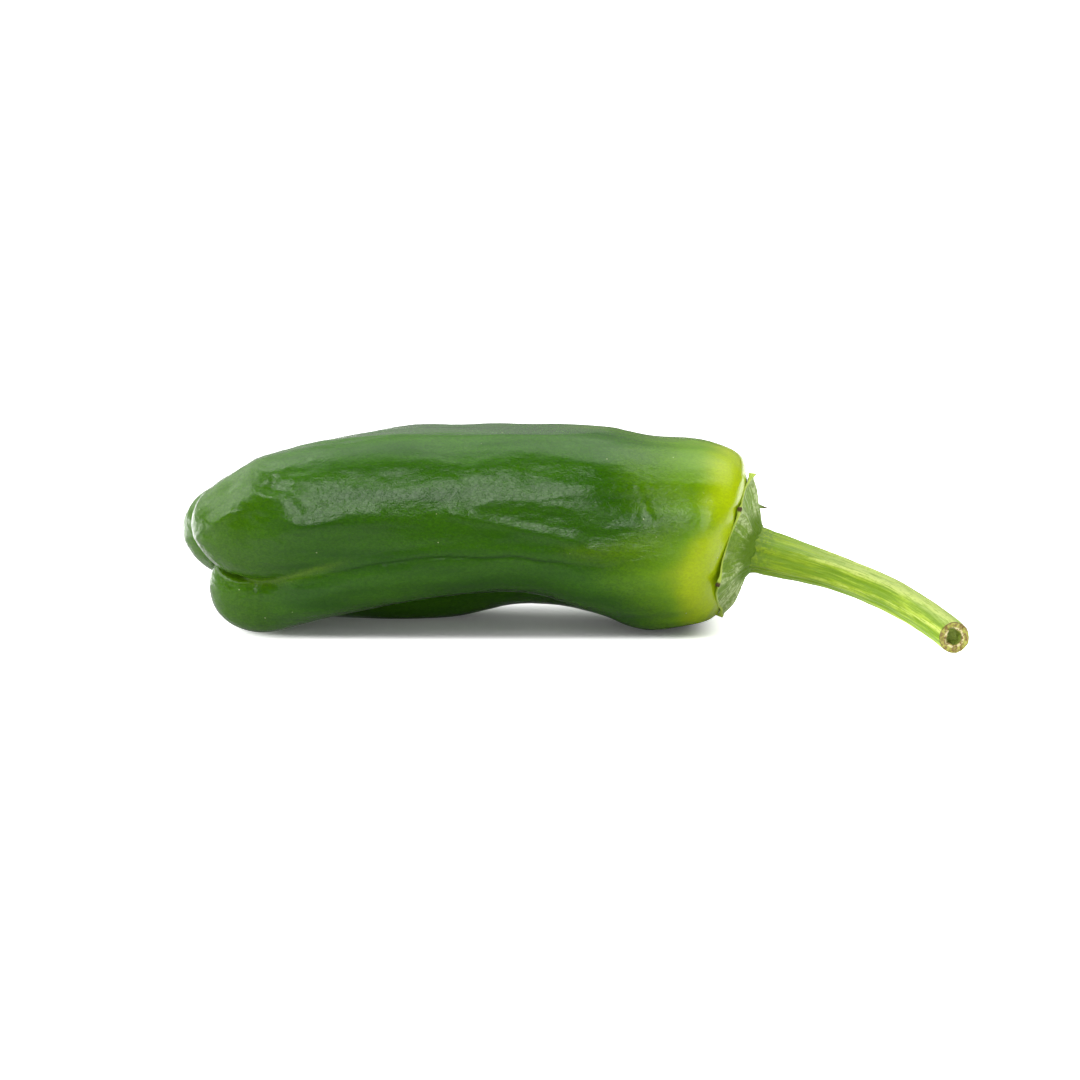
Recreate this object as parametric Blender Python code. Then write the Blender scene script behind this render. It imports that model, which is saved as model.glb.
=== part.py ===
"""A padron pepper lying on its side: the lobed fruit, the calyx that caps it and the curved stem.

Lengths are in millimetres until a vertex is written, where MM turns them into metres.
X runs from the blossom tip to the stem, -Y is the side that the stem bends to, and Z is up.
Each part is a sphere whose vertices are slid to places that a formula gives. A vertex is
named by its share of the way from pole to pole, and its turn from straight up towards -Y.
"""

import math

import bmesh
import bpy
import numpy as np

MM = 0.001
FULL_TURN = 2 * math.pi
GAP = 0.3

# A lobe is a tube: where its tip ends, how long the tip's rounding is, and then
# stations of (x, y, z, radius).
LOBES = {
    "upper_front": (
        (-43.5, 8.8),
        (-37, -3.4, 13.0, 6.6),
        (-33, -3.2, 13.9, 7.4),
        (-26, -2.6, 14.8, 7.7),
        (-15, -1.9, 15.2, 8.1),
        (-4, -1.7, 15.0, 8.2),
        (2, -1.5, 14.2, 8.8),
        (8, -1.3, 13.0, 9.0),
        (14, -1.0, 12.3, 9.2),
        (20, -0.8, 11.4, 8.8),
    ),
    "lower_front": (
        (-42.0, 6.4),
        (-36, -0.8, 5.2, 5.3),
        (-31, -2.7, 6.3, 5.1),
        (-26, -3.7, 7.5, 5.0),
        (-15, -4.6, 9.5, 4.9),
        (-4, -4.2, 9.8, 5.1),
        (2, -3.8, 8.8, 6.2),
        (8, -2.2, 9.0, 8.4),
        (14, -1.4, 9.8, 8.7),
        (20, -1.0, 10.4, 9.0),
    ),
    "upper_back": (
        (-45.5, 10.5),
        (-37, 4.8, 10.9, 6.7),
        (-26, 4.6, 13.3, 7.9),
        (-15, 4.0, 14.7, 8.4),
        (-4, 3.4, 14.1, 8.7),
        (2, 3.0, 13.7, 9.0),
        (8, 2.5, 12.6, 9.1),
        (14, 2.0, 12.3, 9.2),
        (20, 1.4, 11.4, 8.9),
    ),
    "lower_back": (
        (-41.5, 8.0),
        (-37, 5.0, 5.6, 5.0),
        (-26, 6.4, 6.5, 6.4),
        (-20, 6.6, 6.5, 6.6),
        (-15, 6.6, 6.7, 6.6),
        (-4, 5.4, 8.2, 6.4),
        (2, 4.2, 8.6, 7.5),
        (8, 2.9, 8.6, 8.7),
        (14, 2.0, 9.5, 8.9),
        (20, 1.4, 10.4, 9.0),
    ),
}
CREASE_SHARPNESS = 24
LEAST_GAUGE = 0.05

# The fruit settles by this much, so that it is flat where it touches the surface.
SETTLE = 0.1

# The stem end of the fruit is a blunt shoulder on a plane that leans down and to -Y.
SHOULDER_STARTS = 13.0
SHOULDER_ENDS = 18.4
SHOULDER_SQUARENESS = 5.0
LEAN_STARTS = 0.0
LEAN_DOWN = 0.15
LEAN_ASIDE = 0.25
LEAN_TWIST = 0.02

# Rays from this spine meet the skin, fanning out at both ends.
SPINE_TIP = (-35.5, 0.6, 8.9)
SPINE_MIDDLE = (-12.0, 0.4, 12.4)
SPINE_SHOULDER = (8.6, 0.0, 10.8)
REACH = 26.0
HALVINGS = 34
FRUIT_SEGMENTS = 84
FRUIT_RINGS = 48
FAN_SHOULDER = 0.24
FAN_TIP = 0.70

# The calyx is a thin saucer with six blunt teeth, each at the end of a rib, and a neck.
CALYX_CENTRE = (18.4, -0.3, 9.9)
CALYX_FACING = (1.0, -0.25, -0.22)
CALYX_SEGMENTS = 84
CALYX_RINGS = 16
CALYX_THICKNESS = 0.65
CALYX_DROP = 1.0
WELL_INSIDE = 8.0
TOOTH_TURNS = (0, 50, 112, 180, 243, 305)
TOOTH_RADIUS = 8.1
TOOTH_LENGTH = 0.7
TOOTH_WIDTH = math.radians(4.5)
EDGE_STRAIGHTNESS = 0.55
RIB_HEIGHT = 0.55
RIB_WIDTH = math.radians(11)
RIB_FULLNESS = 0.7
NECK_RADIUS = 2.9
NECK_HEIGHT = 1.9
NECK_HOLLOW = 1.6

# The stem follows one bend from the neck to a slanting cut with a hollow pith.
STEM_SEGMENTS = 42
STEM_RINGS = 34
STEM_END = (41.7, -15.2, 2.3)
STEM_LEAVES = 10.0
STEM_ARRIVES = 9.0
STEM_END_WAY = (0.55, -0.72, -0.42)
STEM_RADII = ((0.0, 2.7), (0.15, 2.4), (0.35, 2.0), (0.6, 1.85), (1.0, 1.78))
STEM_RIBS = 6
STEM_RIB_DEPTH = 0.09
MEAN_RIB_WAVE = 0.64
CUT_NORMAL = (0.30, -0.92, -0.12)
CUT_SPREAD = 6
PITH_RADIUS = 0.52
PITH_DEPTH = 1.3

# Shares of the stem's sphere where its base disc, side, cut ring and pith wall end.
BASE_ENDS = 0.09
SIDE_ENDS = 0.84
RING_ENDS = 0.90
WALL_ENDS = 0.95

# The middle of the whole pepper's box, which is put over the origin.
BOX_MIDDLE = (-1.0, -1.2)

COLOURS = {
    "fruit": (0.045, 0.16, 0.012),
    "calyx": (0.16, 0.30, 0.07),
    "stem": (0.33, 0.50, 0.07),
}
ROUGHNESS = {"fruit": 0.28, "calyx": 0.55, "stem": 0.5}


def smooth_through(stations, keys):
    """Values at keys on a smooth curve through stations, whose first column is the key."""
    table = np.array(stations, float)
    at, values = table[:, 0], table[:, 1:]
    slopes = np.gradient(values, at, axis=0)
    keys = np.clip(keys, at[0], at[-1])
    left = np.clip(np.searchsorted(at, keys, side="right") - 1, 0, len(at) - 2)
    span = at[left + 1] - at[left]
    u = ((keys - at[left]) / span)[..., None]
    span = span[..., None]
    return (
        (2 * u**3 - 3 * u**2 + 1) * values[left]
        + (u**3 - 2 * u**2 + u) * span * slopes[left]
        + (3 * u**2 - 2 * u**3) * values[left + 1]
        + (u**3 - u**2) * span * slopes[left + 1]
    )


def part_way(value, start, end):
    """How far value is from start to end, from 0 to 1."""
    return np.clip((value - start) / (end - start), 0, 1)


def ease(value):
    """A soft step from 0 to 1 as value goes from 0 to 1."""
    return value * value * (3 - 2 * value)


def fruit_gauge(points):
    """1 on the fruit's skin and below 1 inside it, for an array of points."""
    x, y, z = points[..., 0], points[..., 1], points[..., 2]
    leaning = ease(part_way(x, LEAN_STARTS, SHOULDER_ENDS))
    aside, above = y - CALYX_CENTRE[1], z - CALYX_CENTRE[2]
    lean = LEAN_DOWN * above + LEAN_ASIDE * aside - LEAN_TWIST * aside * above
    past = np.clip(x - leaning * lean - SHOULDER_STARTS, 0, None)
    shoulder = past / (SHOULDER_ENDS - SHOULDER_STARTS)
    total = 0.0
    for (tip_end, tip_length), *stations in LOBES.values():
        centre = smooth_through(stations, x)
        across = np.hypot(y - centre[..., 0], z - centre[..., 1]) / centre[..., 2]
        tip = np.clip(tip_end + tip_length - x, 0, None) / tip_length
        rounded = np.hypot(across, tip)
        gauge = (rounded**SHOULDER_SQUARENESS + shoulder**SHOULDER_SQUARENESS) ** (
            1 / SHOULDER_SQUARENESS
        )
        total = total + np.maximum(gauge, LEAST_GAUGE) ** -CREASE_SHARPNESS
    return total ** (-1 / CREASE_SHARPNESS)


def meet_skin(origins, ways):
    """The points where rays from inside the fruit come out through its skin."""
    near = np.zeros(origins.shape[:-1])
    far = np.full(origins.shape[:-1], REACH)
    for _ in range(HALVINGS):
        middle = (near + far) / 2
        inside = fruit_gauge(origins + ways * middle[..., None]) < 1
        near = np.where(inside, middle, near)
        far = np.where(inside, far, middle)
    return origins + ways * near[..., None]


def round_way(turn):
    """The unit vector across the fruit at a turn from straight up towards -Y."""
    return np.stack([np.zeros_like(turn), -np.sin(turn), np.cos(turn)], axis=-1)


def fruit_surface(share, turn):
    """The skin at a share of the way from the stem end to the tip, and a turn round it."""
    spine = ((0.0, *SPINE_SHOULDER), (0.5, *SPINE_MIDDLE), (1.0, *SPINE_TIP))
    origins = smooth_through(spine, part_way(share, FAN_SHOULDER, FAN_TIP))
    shoulder_fan = 1 - part_way(share, 0, FAN_SHOULDER)
    tilt = (FULL_TURN / 4) * (shoulder_fan - part_way(share, FAN_TIP, 1))
    along = np.array([1.0, 0.0, 0.0])
    ways = np.cos(tilt)[..., None] * round_way(turn) + np.sin(tilt)[..., None] * along
    points = meet_skin(origins, ways)
    points[..., 2] = np.maximum(points[..., 2] - SETTLE, 0.0)
    return points


def calyx_frame():
    """The calyx's centre, the way it faces, and the two ways across it, to -Y and up."""
    centre = np.array(CALYX_CENTRE)
    facing = np.array(CALYX_FACING) / np.linalg.norm(CALYX_FACING)
    aside = np.cross(facing, [0.0, 0.0, 1.0])
    aside /= np.linalg.norm(aside)
    return centre, facing, aside, np.cross(aside, facing)


def near_teeth(turn, width):
    """1 at the turn of each tooth, falling away to 0 within about the given width."""
    nearness = 0.0
    for tooth in np.radians(TOOTH_TURNS):
        off = (turn - tooth + FULL_TURN / 2) % FULL_TURN - FULL_TURN / 2
        nearness = nearness + np.exp(-((off / width) ** 2))
    return nearness


def rim_radius(turn):
    """The calyx's outline: nearly straight edges from tooth to tooth, and the teeth."""
    teeth = np.radians(TOOTH_TURNS + (TOOTH_TURNS[0] + 360,))
    turn = turn % FULL_TURN
    left = np.clip(np.searchsorted(teeth, turn, side="right") - 1, 0, len(TOOTH_TURNS) - 1)
    half = (teeth[left + 1] - teeth[left]) / 2
    straight = np.cos(half) / np.cos(turn - teeth[left] - half)
    edge = TOOTH_RADIUS * (1 - EDGE_STRAIGHTNESS * (1 - straight))
    return edge + TOOTH_LENGTH * near_teeth(turn, TOOTH_WIDTH)


def calyx_surface(share, turn):
    """The calyx from its centre outside, over the rim, to its centre inside."""
    centre, facing, aside, upward = calyx_frame()
    outside = share <= 0.5
    outward = np.where(outside, share, 1 - share) * 2
    rim = rim_radius(turn)
    reach = rim * outward
    flat = centre + reach[..., None] * (
        np.sin(turn)[..., None] * aside + np.cos(turn)[..., None] * upward
    )
    below = flat - facing * WELL_INSIDE
    skin = meet_skin(below, np.broadcast_to(facing, below.shape))
    skin_height = (skin - centre) @ facing
    inner = np.maximum(skin_height, -CALYX_DROP) + GAP
    slope = part_way(reach, NECK_RADIUS, rim)
    spread = 1 - (1 - slope) ** NECK_HOLLOW
    rib = RIB_HEIGHT * near_teeth(turn, RIB_WIDTH) * np.sin(math.pi * slope) ** RIB_FULLNESS
    outer = (1 - spread) * NECK_HEIGHT + spread * (inner + CALYX_THICKNESS) + rib
    height = np.where(outside, outer, inner)
    return flat + facing * height[..., None]


def bezier(start, leave, arrive, end, share):
    """A cubic curve and its direction at a share of its length."""
    u = share[..., None]
    point = (
        (1 - u) ** 3 * start
        + 3 * (1 - u) ** 2 * u * leave
        + 3 * (1 - u) * u**2 * arrive
        + u**3 * end
    )
    way = (
        (1 - u) ** 2 * (leave - start)
        + 2 * (1 - u) * u * (arrive - leave)
        + u**2 * (end - arrive)
    )
    return point, way / np.linalg.norm(way, axis=-1, keepdims=True)


def stem_surface(share, turn):
    """The stem from its base disc along its length, over the cut and down the pith."""
    centre, facing, aside, upward = calyx_frame()
    base = centre + facing * (NECK_HEIGHT + GAP)
    end = np.array(STEM_END)
    end_way = np.array(STEM_END_WAY) / np.linalg.norm(STEM_END_WAY)
    along = part_way(share, BASE_ENDS, SIDE_ENDS)
    middle, way = bezier(
        base, base + facing * STEM_LEAVES, end - end_way * STEM_ARRIVES, end, along
    )
    side = np.cross(way, upward)
    side /= np.linalg.norm(side, axis=-1, keepdims=True)
    top = np.cross(side, way)
    radius = smooth_through(STEM_RADII, along)[..., 0]
    rib = 1 + STEM_RIB_DEPTH * (np.abs(np.cos(STEM_RIBS * turn / 2)) - MEAN_RIB_WAVE)
    ring_reach = 1 - (1 - PITH_RADIUS) * part_way(share, SIDE_ENDS, RING_ENDS)
    reach = part_way(share, 0, BASE_ENDS) * ring_reach * (1 - part_way(share, WALL_ENDS, 1))
    offset = (radius * rib * reach)[..., None] * (
        np.sin(turn)[..., None] * side + np.cos(turn)[..., None] * top
    )
    cut = np.array(CUT_NORMAL) / np.linalg.norm(CUT_NORMAL)
    slant = -(offset @ cut) / (end_way @ cut)
    deep = PITH_DEPTH * part_way(share, RING_ENDS, WALL_ENDS)
    slanting = along**CUT_SPREAD * slant - deep
    return middle + offset + way * slanting[..., None]


def painted(name):
    """A plain material in the colour and gloss of one part of the pepper."""
    material = bpy.data.materials.new(name)
    material.use_nodes = True
    shader = material.node_tree.nodes["Principled BSDF"]
    shader.inputs["Base Color"].default_value = (*COLOURS[name], 1)
    shader.inputs["Roughness"].default_value = ROUGHNESS[name]
    shader.inputs["Metallic"].default_value = 0
    return material


def solid_from_sphere(name, segments, rings, surface):
    """An object made from a sphere whose every vertex is slid to its place on a surface."""
    mesh = bpy.data.meshes.new(name)
    shape = bmesh.new()
    bmesh.ops.create_uvsphere(shape, u_segments=segments, v_segments=rings, radius=1)
    at = np.array([vertex.co for vertex in shape.verts])
    share = np.arccos(np.clip(at[:, 2], -1, 1)) / math.pi
    turn = np.arctan2(at[:, 1], at[:, 0])
    for vertex, place in zip(shape.verts, surface(share, turn)):
        vertex.co = place * MM
    if shape.calc_volume(signed=True) < 0:
        bmesh.ops.reverse_faces(shape, faces=shape.faces)
    shape.to_mesh(mesh)
    shape.free()
    mesh.shade_smooth()
    mesh.materials.append(painted(name))
    return bpy.data.objects.new(name, mesh)


def main():
    for leftover in list(bpy.data.objects):
        bpy.data.objects.remove(leftover)
    collection = bpy.data.collections.new("padron_pepper")
    bpy.context.scene.collection.children.link(collection)
    pepper = bpy.data.objects.new("pepper", None)
    pepper.location = (-BOX_MIDDLE[0] * MM, -BOX_MIDDLE[1] * MM, 0)
    collection.objects.link(pepper)
    plans = (
        ("fruit", FRUIT_SEGMENTS, FRUIT_RINGS, fruit_surface),
        ("calyx", CALYX_SEGMENTS, CALYX_RINGS, calyx_surface),
        ("stem", STEM_SEGMENTS, STEM_RINGS, stem_surface),
    )
    for plan in plans:
        part = solid_from_sphere(*plan)
        part.parent = pepper
        collection.objects.link(part)


main()
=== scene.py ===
# %% [markdown]
# # A padron pepper lying on a white table
#
# This notebook dresses a measured model of a small green pepper. The model, called the frame here,
# says how big each piece is and where it lies. We replace its plain solids with finer ones made from
# the same formulas, give each a finish of its own, and set up a soft white studio.

# %% Load the frame
import math

import bmesh
import bpy
import numpy as np
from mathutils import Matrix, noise


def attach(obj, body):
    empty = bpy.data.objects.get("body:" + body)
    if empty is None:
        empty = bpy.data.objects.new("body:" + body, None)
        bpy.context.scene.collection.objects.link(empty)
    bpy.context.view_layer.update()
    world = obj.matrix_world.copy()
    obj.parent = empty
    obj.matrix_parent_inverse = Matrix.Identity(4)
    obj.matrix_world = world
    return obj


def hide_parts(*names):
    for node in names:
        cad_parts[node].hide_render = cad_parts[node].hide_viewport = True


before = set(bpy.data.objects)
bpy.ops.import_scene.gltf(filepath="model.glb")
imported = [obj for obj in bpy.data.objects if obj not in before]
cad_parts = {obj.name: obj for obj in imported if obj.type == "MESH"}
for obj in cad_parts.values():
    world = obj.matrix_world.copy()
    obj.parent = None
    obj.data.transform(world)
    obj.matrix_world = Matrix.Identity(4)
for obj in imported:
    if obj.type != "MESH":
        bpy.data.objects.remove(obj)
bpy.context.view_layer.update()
print("nodes:", sorted(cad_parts))

# %% [markdown]
# ## Where things are
#
# A pepper is easiest to think of in millimetres, so every formula below is in millimetres, with X
# running from the blossom tip to the stem, -Y the side that the stem bends to, and Z up. The formulas'
# origin is not under the middle of the pepper's box, and the frame's origin is, so one shift joins the
# two. A single function turns our points into the frame's metres.

# %% From millimetres to the frame
MM = 0.001
FULL_TURN = 2 * math.pi
BOX_MIDDLE = np.array([-1.0, -1.2, 0.0])


def to_frame(points):
    """Points of the formulas, in millimetres, as points of the frame, in metres."""
    return (np.asarray(points, float) - BOX_MIDDLE) * MM


print("the formulas' origin lies at", to_frame([0, 0, 0]), "in the frame")

# %% [markdown]
# ## The camera
#
# The photographer stood square to the pepper's side and looked down a little. A long lens keeps the
# far side almost as large as the near side, as close-up product pictures do. We could aim the camera
# with a constraint, but a camera that looks along +Y needs only one angle, so we set that directly.

# %% Camera
CAMERA_HEIGHT_ANGLE = 11.0
CAMERA_PLACE = (-4.025, -336.72, 75.79)
LENS_LENGTH = 100
SENSOR_WIDTH = 36

camera_data = bpy.data.cameras.new("camera")
camera_data.lens = LENS_LENGTH
camera_data.sensor_width = SENSOR_WIDTH
camera_data.clip_start = 0.01
camera_data.clip_end = 50
camera = bpy.data.objects.new("camera", camera_data)
camera.location = to_frame(CAMERA_PLACE)
camera.rotation_euler = (math.radians(90 - CAMERA_HEIGHT_ANGLE), 0, 0)
bpy.context.scene.collection.objects.link(camera)
bpy.context.scene.camera = camera
print("camera at", tuple(round(value, 4) for value in camera.location))

# %% [markdown]
# ## Curves through a few stations
#
# A pepper's width and height change slowly along its length. A maker would take a handful of
# measurements and draw a fair curve through them. We do that with cubic pieces whose slopes come from
# the neighbouring stations, so the curve never kinks, and is level at both ends. Three small helpers go
# with it: one says how far a value is between two others, one softens the ends of such a step, and one
# rises and falls again, like a bell.

# %% Smooth curves
def smooth_through(stations, keys):
    """Values at keys on a smooth curve through stations, whose first column is the key."""
    table = np.array(stations, float)
    at, values = table[:, 0], table[:, 1:]
    slopes = np.gradient(values, at, axis=0)
    slopes[[0, -1]] = 0
    keys = np.clip(keys, at[0], at[-1])
    left = np.clip(np.searchsorted(at, keys, side="right") - 1, 0, len(at) - 2)
    span = at[left + 1] - at[left]
    u = ((keys - at[left]) / span)[..., None]
    span = span[..., None]
    return (
        (2 * u**3 - 3 * u**2 + 1) * values[left]
        + (u**3 - 2 * u**2 + u) * span * slopes[left]
        + (3 * u**2 - 2 * u**3) * values[left + 1]
        + (u**3 - u**2) * span * slopes[left + 1]
    )


def part_way(value, start, end):
    """How far value is from start to end, from 0 to 1."""
    return np.clip((value - start) / (end - start), 0, 1)


def ease(value):
    """A soft step from 0 to 1 as value goes from 0 to 1."""
    return value * value * (3 - 2 * value)


def bell(value, width, middle=0.0):
    """1 at the middle, falling away to 0 on both sides within about the given width."""
    return np.exp(-(((value - middle) / width) ** 2))


print("half way, softened:", ease(part_way(5.0, 0, 10)))

# %% [markdown]
# ## The fruit's four lobes
#
# A pepper grows from a few carpels, and each shows outside as a long lobe. Here there are four, and
# they part at the blossom end. We describe a lobe as a tube: stations of (x, y, z, radius), and a tip
# that ends at one x and is rounded over some length. The fruit could be sculpted instead, but tubes
# keep the creases exactly where lobes meet, all the way round.

# %% Lobes
LOBES = {
    "upper_front": (
        (-43.5, 8.8),
        (-37, -3.4, 13.0, 6.6),
        (-33, -3.2, 13.9, 7.4),
        (-26, -2.6, 14.8, 7.7),
        (-15, -1.9, 15.2, 8.1),
        (-4, -1.7, 15.0, 8.2),
        (2, -1.5, 14.2, 8.8),
        (8, -1.3, 13.0, 9.0),
        (14, -1.0, 12.3, 9.2),
        (20, -0.8, 11.4, 8.8),
    ),
    "lower_front": (
        (-42.0, 6.4),
        (-36, -0.8, 5.2, 5.3),
        (-31, -2.7, 6.3, 5.1),
        (-26, -3.7, 7.5, 5.0),
        (-15, -4.6, 9.5, 4.9),
        (-4, -4.2, 9.8, 5.1),
        (2, -3.8, 8.8, 6.2),
        (8, -2.2, 9.0, 8.4),
        (14, -1.4, 9.8, 8.7),
        (20, -1.0, 10.4, 9.0),
    ),
    "upper_back": (
        (-45.5, 10.5),
        (-37, 4.8, 10.9, 6.7),
        (-26, 4.6, 13.3, 7.9),
        (-15, 4.0, 14.7, 8.4),
        (-4, 3.4, 14.1, 8.7),
        (2, 3.0, 13.7, 9.0),
        (8, 2.5, 12.6, 9.1),
        (14, 2.0, 12.3, 9.2),
        (20, 1.4, 11.4, 8.9),
    ),
    "lower_back": (
        (-41.5, 8.0),
        (-37, 5.0, 5.6, 5.0),
        (-26, 6.4, 6.5, 6.4),
        (-20, 6.6, 6.5, 6.6),
        (-15, 6.6, 6.7, 6.6),
        (-4, 5.4, 8.2, 6.4),
        (2, 4.2, 8.6, 7.5),
        (8, 2.9, 8.6, 8.7),
        (14, 2.0, 9.5, 8.9),
        (20, 1.4, 10.4, 9.0),
    ),
}
print("lobes:", ", ".join(LOBES))

# %% [markdown]
# ## Joining the lobes
#
# A Boolean union would leave a knife-sharp crease between lobes, and real skin is rounded there. So we
# let each lobe say how deep in it a point lies, and blend those numbers: the result is 1 on the joined
# skin and less inside. The blend's power decides how tight the creases are. The stem end is cut off by
# a blunt shoulder on a leaning plane, blended in the same way. We also keep how near two lobes a point
# is, because folds and pale lines follow the creases.

# %% Depth in the fruit
CREASE_SHARPNESS = 24
LEAST_GAUGE = 0.05
SHOULDER_STARTS = 13.0
SHOULDER_ENDS = 18.4
SHOULDER_SQUARENESS = 5.0
LEAN_STARTS = 0.0
LEAN_DOWN = 0.15
LEAN_ASIDE = 0.25
LEAN_TWIST = 0.02
CALYX_CENTRE = (18.4, -0.3, 9.9)


def past_shoulder(points):
    """How far past the start of the shoulder a point is, along the fruit."""
    x, y, z = points[..., 0], points[..., 1], points[..., 2]
    leaning = ease(part_way(x, LEAN_STARTS, SHOULDER_ENDS))
    aside, above = y - CALYX_CENTRE[1], z - CALYX_CENTRE[2]
    lean = LEAN_DOWN * above + LEAN_ASIDE * aside - LEAN_TWIST * aside * above
    return x - leaning * lean - SHOULDER_STARTS


def lobe_gauges(points):
    """For each lobe, a number that is 1 on its own skin and below 1 inside it."""
    x, y, z = points[..., 0], points[..., 1], points[..., 2]
    shoulder = np.clip(past_shoulder(points), 0, None) / (SHOULDER_ENDS - SHOULDER_STARTS)
    gauges = []
    for (tip_end, tip_length), *stations in LOBES.values():
        centre = smooth_through(stations, x)
        across = np.hypot(y - centre[..., 0], z - centre[..., 1]) / centre[..., 2]
        tip = np.clip(tip_end + tip_length - x, 0, None) / tip_length
        rounded = np.hypot(across, tip)
        squared = rounded**SHOULDER_SQUARENESS + shoulder**SHOULDER_SQUARENESS
        gauges.append(np.maximum(squared ** (1 / SHOULDER_SQUARENESS), LEAST_GAUGE))
    return np.array(gauges)


def fruit_gauge(points):
    """1 on the fruit's skin and below 1 inside it."""
    return (lobe_gauges(points) ** -CREASE_SHARPNESS).sum(axis=0) ** (-1 / CREASE_SHARPNESS)


print("depth at the fruit's middle:", round(float(fruit_gauge(np.array([-12.0, 0.4, 12.4]))), 2))

# %% [markdown]
# ## Finding the skin
#
# Now we need points on the skin. We send rays out from inside the fruit and halve the distance until
# each ray's end sits where the gauge is 1. The rays start on a spine, stand square to it along the
# body, and fan out at both ends, so that they reach the blunt shoulder and every lobe's tip.

# %% Rays to the skin
REACH = 26.0
HALVINGS = 20
SETTLE = 0.1
SPINE = (
    (0.0, 8.6, 0.0, 10.8),
    (0.5, -12.0, 0.4, 12.4),
    (1.0, -35.5, 0.6, 8.9),
)
FAN_SHOULDER = 0.24
FAN_TIP = 0.70


def meet_skin(origins, ways):
    """The points where rays from inside the fruit come out through its skin."""
    near = np.zeros(origins.shape[:-1])
    far = np.full(origins.shape[:-1], REACH)
    for _ in range(HALVINGS):
        middle = (near + far) / 2
        inside = fruit_gauge(origins + ways * middle[..., None]) < 1
        near = np.where(inside, middle, near)
        far = np.where(inside, far, middle)
    return origins + ways * near[..., None]


def fruit_surface(share, turn):
    """The skin at a share of the way from the stem end to the tip, and a turn round it."""
    origins = smooth_through(SPINE, part_way(share, FAN_SHOULDER, FAN_TIP))
    shoulder_fan = 1 - part_way(share, 0, FAN_SHOULDER)
    tilt = (FULL_TURN / 4) * (shoulder_fan - part_way(share, FAN_TIP, 1))
    round_way = np.stack([np.zeros_like(turn), -np.sin(turn), np.cos(turn)], axis=-1)
    ways = np.cos(tilt)[..., None] * round_way + np.sin(tilt)[..., None] * np.array([1.0, 0, 0])
    points = meet_skin(origins, ways)
    points[..., 2] = np.maximum(points[..., 2] - SETTLE, 0.0)
    return points


print("topmost skin at mid length:", fruit_surface(np.array([0.5]), np.array([0.0])).round(1))

# %% [markdown]
# ## From a sphere to a pepper
#
# Every piece here is one closed skin, so each is a net like a globe's, laid on the piece. A point is
# named by its share of the way from pole to pole and its turn round the axis, and those two numbers go
# into the piece's surface formula. Blender's UV sphere could be slid onto the surface in the same way,
# but it takes long at this fineness, so we number the points ourselves: one pole, then ring by ring, and
# the other pole. Neighbouring rings are joined by quads, and each pole by a fan of triangles.

# %% A closed skin
def globe_faces(segments, rings):
    """The faces of a globe's net, as point numbers."""
    beside = (np.arange(segments) + 1) % segments
    first = 1 + segments * np.arange(rings - 1)[:, None]
    here, next_to = first + np.arange(segments), first + beside
    bands = np.stack([here[:-1], next_to[:-1], next_to[1:], here[1:]], axis=-1)
    last = 1 + segments * (rings - 1)
    start = np.stack([np.full(segments, 0), next_to[0], here[0]], axis=-1)
    end = np.stack([np.full(segments, last), here[-1], next_to[-1]], axis=-1)
    return bands.reshape(-1, 4).tolist() + start.tolist() + end.tolist()


def closed_skin(name, segments, rings, surface):
    """A globe's net laid on a surface, as a mesh, with its points, and each point's share and turn."""
    share = np.repeat(np.arange(1, rings) / rings, segments)
    turn = np.tile(np.arange(segments) * FULL_TURN / segments, rings - 1)
    share = np.concatenate([[0.0], share, [1.0]])
    turn = np.concatenate([[0.0], turn, [0.0]])
    points = surface(share, turn)
    mesh = bpy.data.meshes.new(name)
    mesh.from_pydata(to_frame(points).tolist(), [], globe_faces(segments, rings))
    turn_outward(mesh)
    return mesh, points, share, turn


def read_points(mesh, what="co"):
    """The vertices' places, or their normals, as one array."""
    flat = np.empty(len(mesh.vertices) * 3, np.float32)
    mesh.vertices.foreach_get(what, flat)
    return flat.reshape(-1, 3).astype(float)


def write_points(mesh, points):
    """Puts the vertices at points of the formulas."""
    mesh.vertices.foreach_set("co", to_frame(points).astype(np.float32).ravel())
    mesh.update()


def turn_outward(mesh):
    """Turns all faces over if the closed mesh is inside out."""
    shape = bmesh.new()
    shape.from_mesh(mesh)
    if shape.calc_volume(signed=True) < 0:
        bmesh.ops.reverse_faces(shape, faces=shape.faces)
        shape.to_mesh(mesh)
    shape.free()


def paint_points(mesh, name, values):
    """Keeps one number a vertex in the mesh, for its material to read."""
    attribute = mesh.attributes.new(name, "FLOAT", "POINT")
    attribute.data.foreach_set("value", np.asarray(values, np.float32))


def paint_places(mesh, name, places):
    """Keeps a place a vertex in the mesh, for its material to lay grain along."""
    attribute = mesh.attributes.new(name, "FLOAT_VECTOR", "POINT")
    attribute.data.foreach_set("vector", np.asarray(places, np.float32).ravel())


FRUIT_SEGMENTS = 330
FRUIT_RINGS = 290
fruit_mesh, fruit_points = closed_skin("fruit_skin", FRUIT_SEGMENTS, FRUIT_RINGS, fruit_surface)[:2]
print("fruit:", len(fruit_mesh.vertices), "points,", fruit_points.min(0), fruit_points.max(0))

# %% [markdown]
# ## Random waves
#
# Fresh skin isn't taut everywhere, and the studio's soft boxes break up in its wrinkles. A displacement
# texture could make them at render time, but then the mesh itself would stay smooth. So we move the
# points along their normals, by heights that come from Perlin noise. Swirling the points before they
# go into the noise makes the wrinkles curl. Blender seeds such swirls from the clock, and each run would
# make another skin, so we set a seed of our own first.

# %% Waves and swirls
def ripples(points, sizes, seed):
    """Soft random waves from about -1 to 1, with a size in millimetres along each axis."""
    scaled = (points / np.array(sizes) + seed).tolist()
    return np.array([noise.noise(place) for place in scaled])


def swirled(points, reach, size, seed):
    """The points pushed about by soft random swirls, so that what is made from them curls."""
    scaled = (points / size + seed).tolist()
    return points + reach * np.array([tuple(noise.noise_vector(place)) for place in scaled])


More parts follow.
